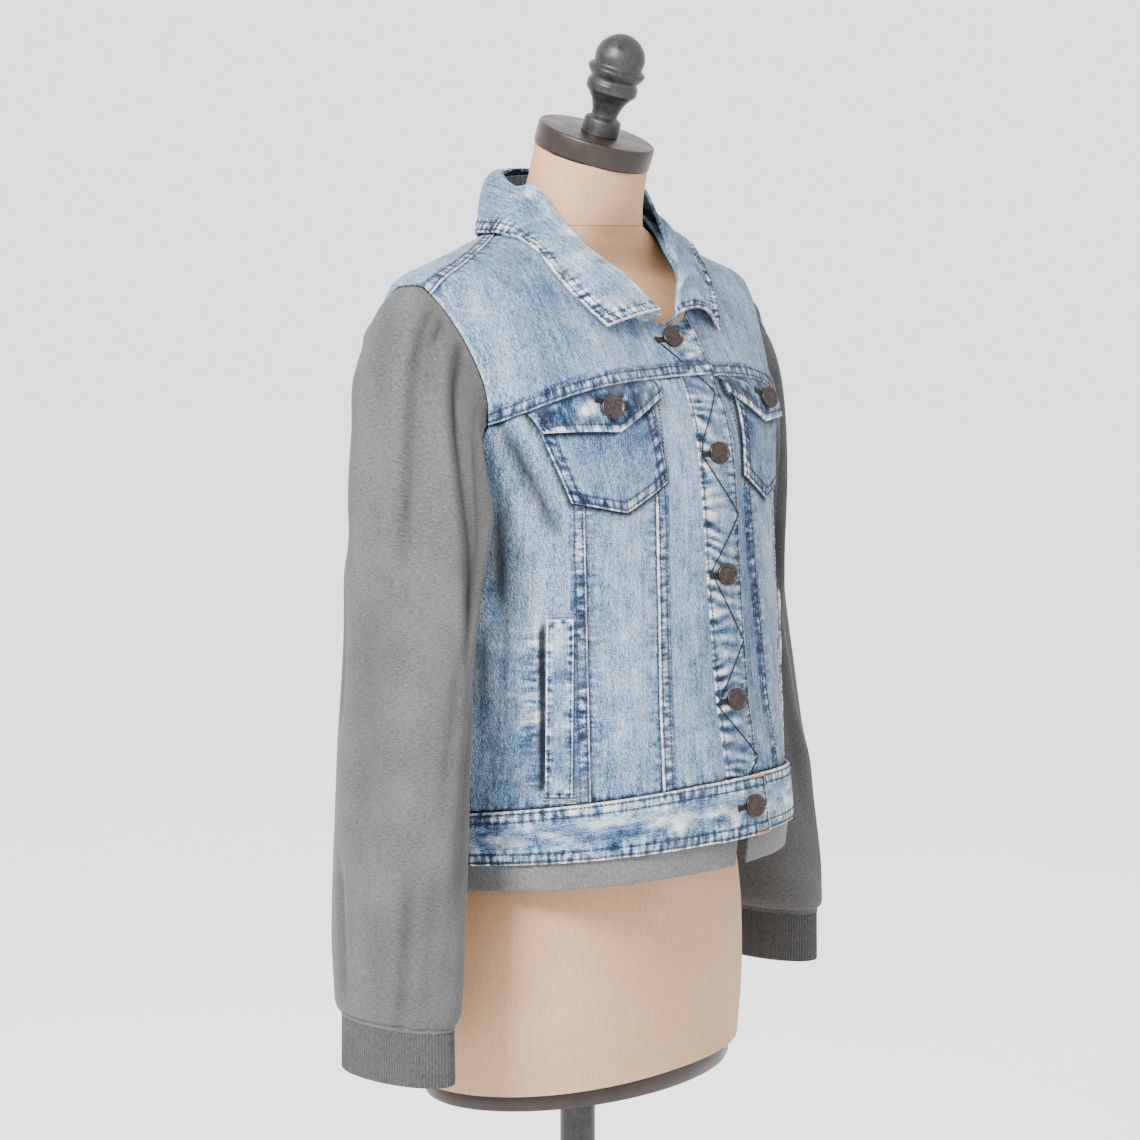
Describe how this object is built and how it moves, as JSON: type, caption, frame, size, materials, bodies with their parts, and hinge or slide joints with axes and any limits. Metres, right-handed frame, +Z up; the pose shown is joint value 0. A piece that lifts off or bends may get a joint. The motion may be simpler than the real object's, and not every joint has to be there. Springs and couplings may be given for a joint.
{
  "type": "denim jacket on dress form",
  "caption": "Cropped pale denim jacket with grey jersey sleeves, rib cuffs and jersey hem band, worn on a limbless dress form with a round base.",
  "frame": {"origin": "middle of the flat underside of the stand's base", "axes": "+Z up, the wearer faces -Y, the wearer's right is on -X"},
  "size_m": [0.5176, 0.38, 1.5692],
  "materials": {
    "denim": "matte",
    "jersey": "matte",
    "rib": "matte",
    "linen": "matte",
    "button_metal": "satin",
    "cap_bronze": "satin",
    "dark_iron": "satin"
  },
  "bodies": {
    "root": {"front_centre_right": "denim", "placket_right": "denim", "placket_left": "denim", "front_centre_left": "denim", "back_centre": "denim", "back_yoke": "denim", "collar_stand": "denim", "collar_leaf": "denim", "waistband_right": "denim", "waistband_left": "denim", "waistband_back": "denim", "front_middle_left": "denim", "front_middle_right": "denim", "front_side_left": "denim", "front_side_right": "denim", "back_side_left": "denim", "back_side_right": "denim", "front_yoke_left": "denim", "front_yoke_right": "denim", "chest_pocket_left": "denim", "chest_pocket_right": "denim", "pocket_flap_left": "denim", "pocket_flap_right": "denim", "welt_left": "denim", "welt_right": "denim", "sleeve_left": "jersey", "cuff_left": "rib", "flap_button_left": "button_metal", "sleeve_right": "jersey", "cuff_right": "rib", "flap_button_right": "button_metal", "hem_band": "jersey", "front_button_1": "button_metal", "front_button_2": "button_metal", "front_button_3": "button_metal", "front_button_4": "button_metal", "front_button_5": "button_metal", "form_body": "linen", "form_neck": "linen", "neck_cap": "cap_bronze", "finial": "dark_iron", "hip_plate": "cap_bronze", "pole": "dark_iron", "pole_collar": "dark_iron", "base": "dark_iron"}
  },
  "joints": []
}
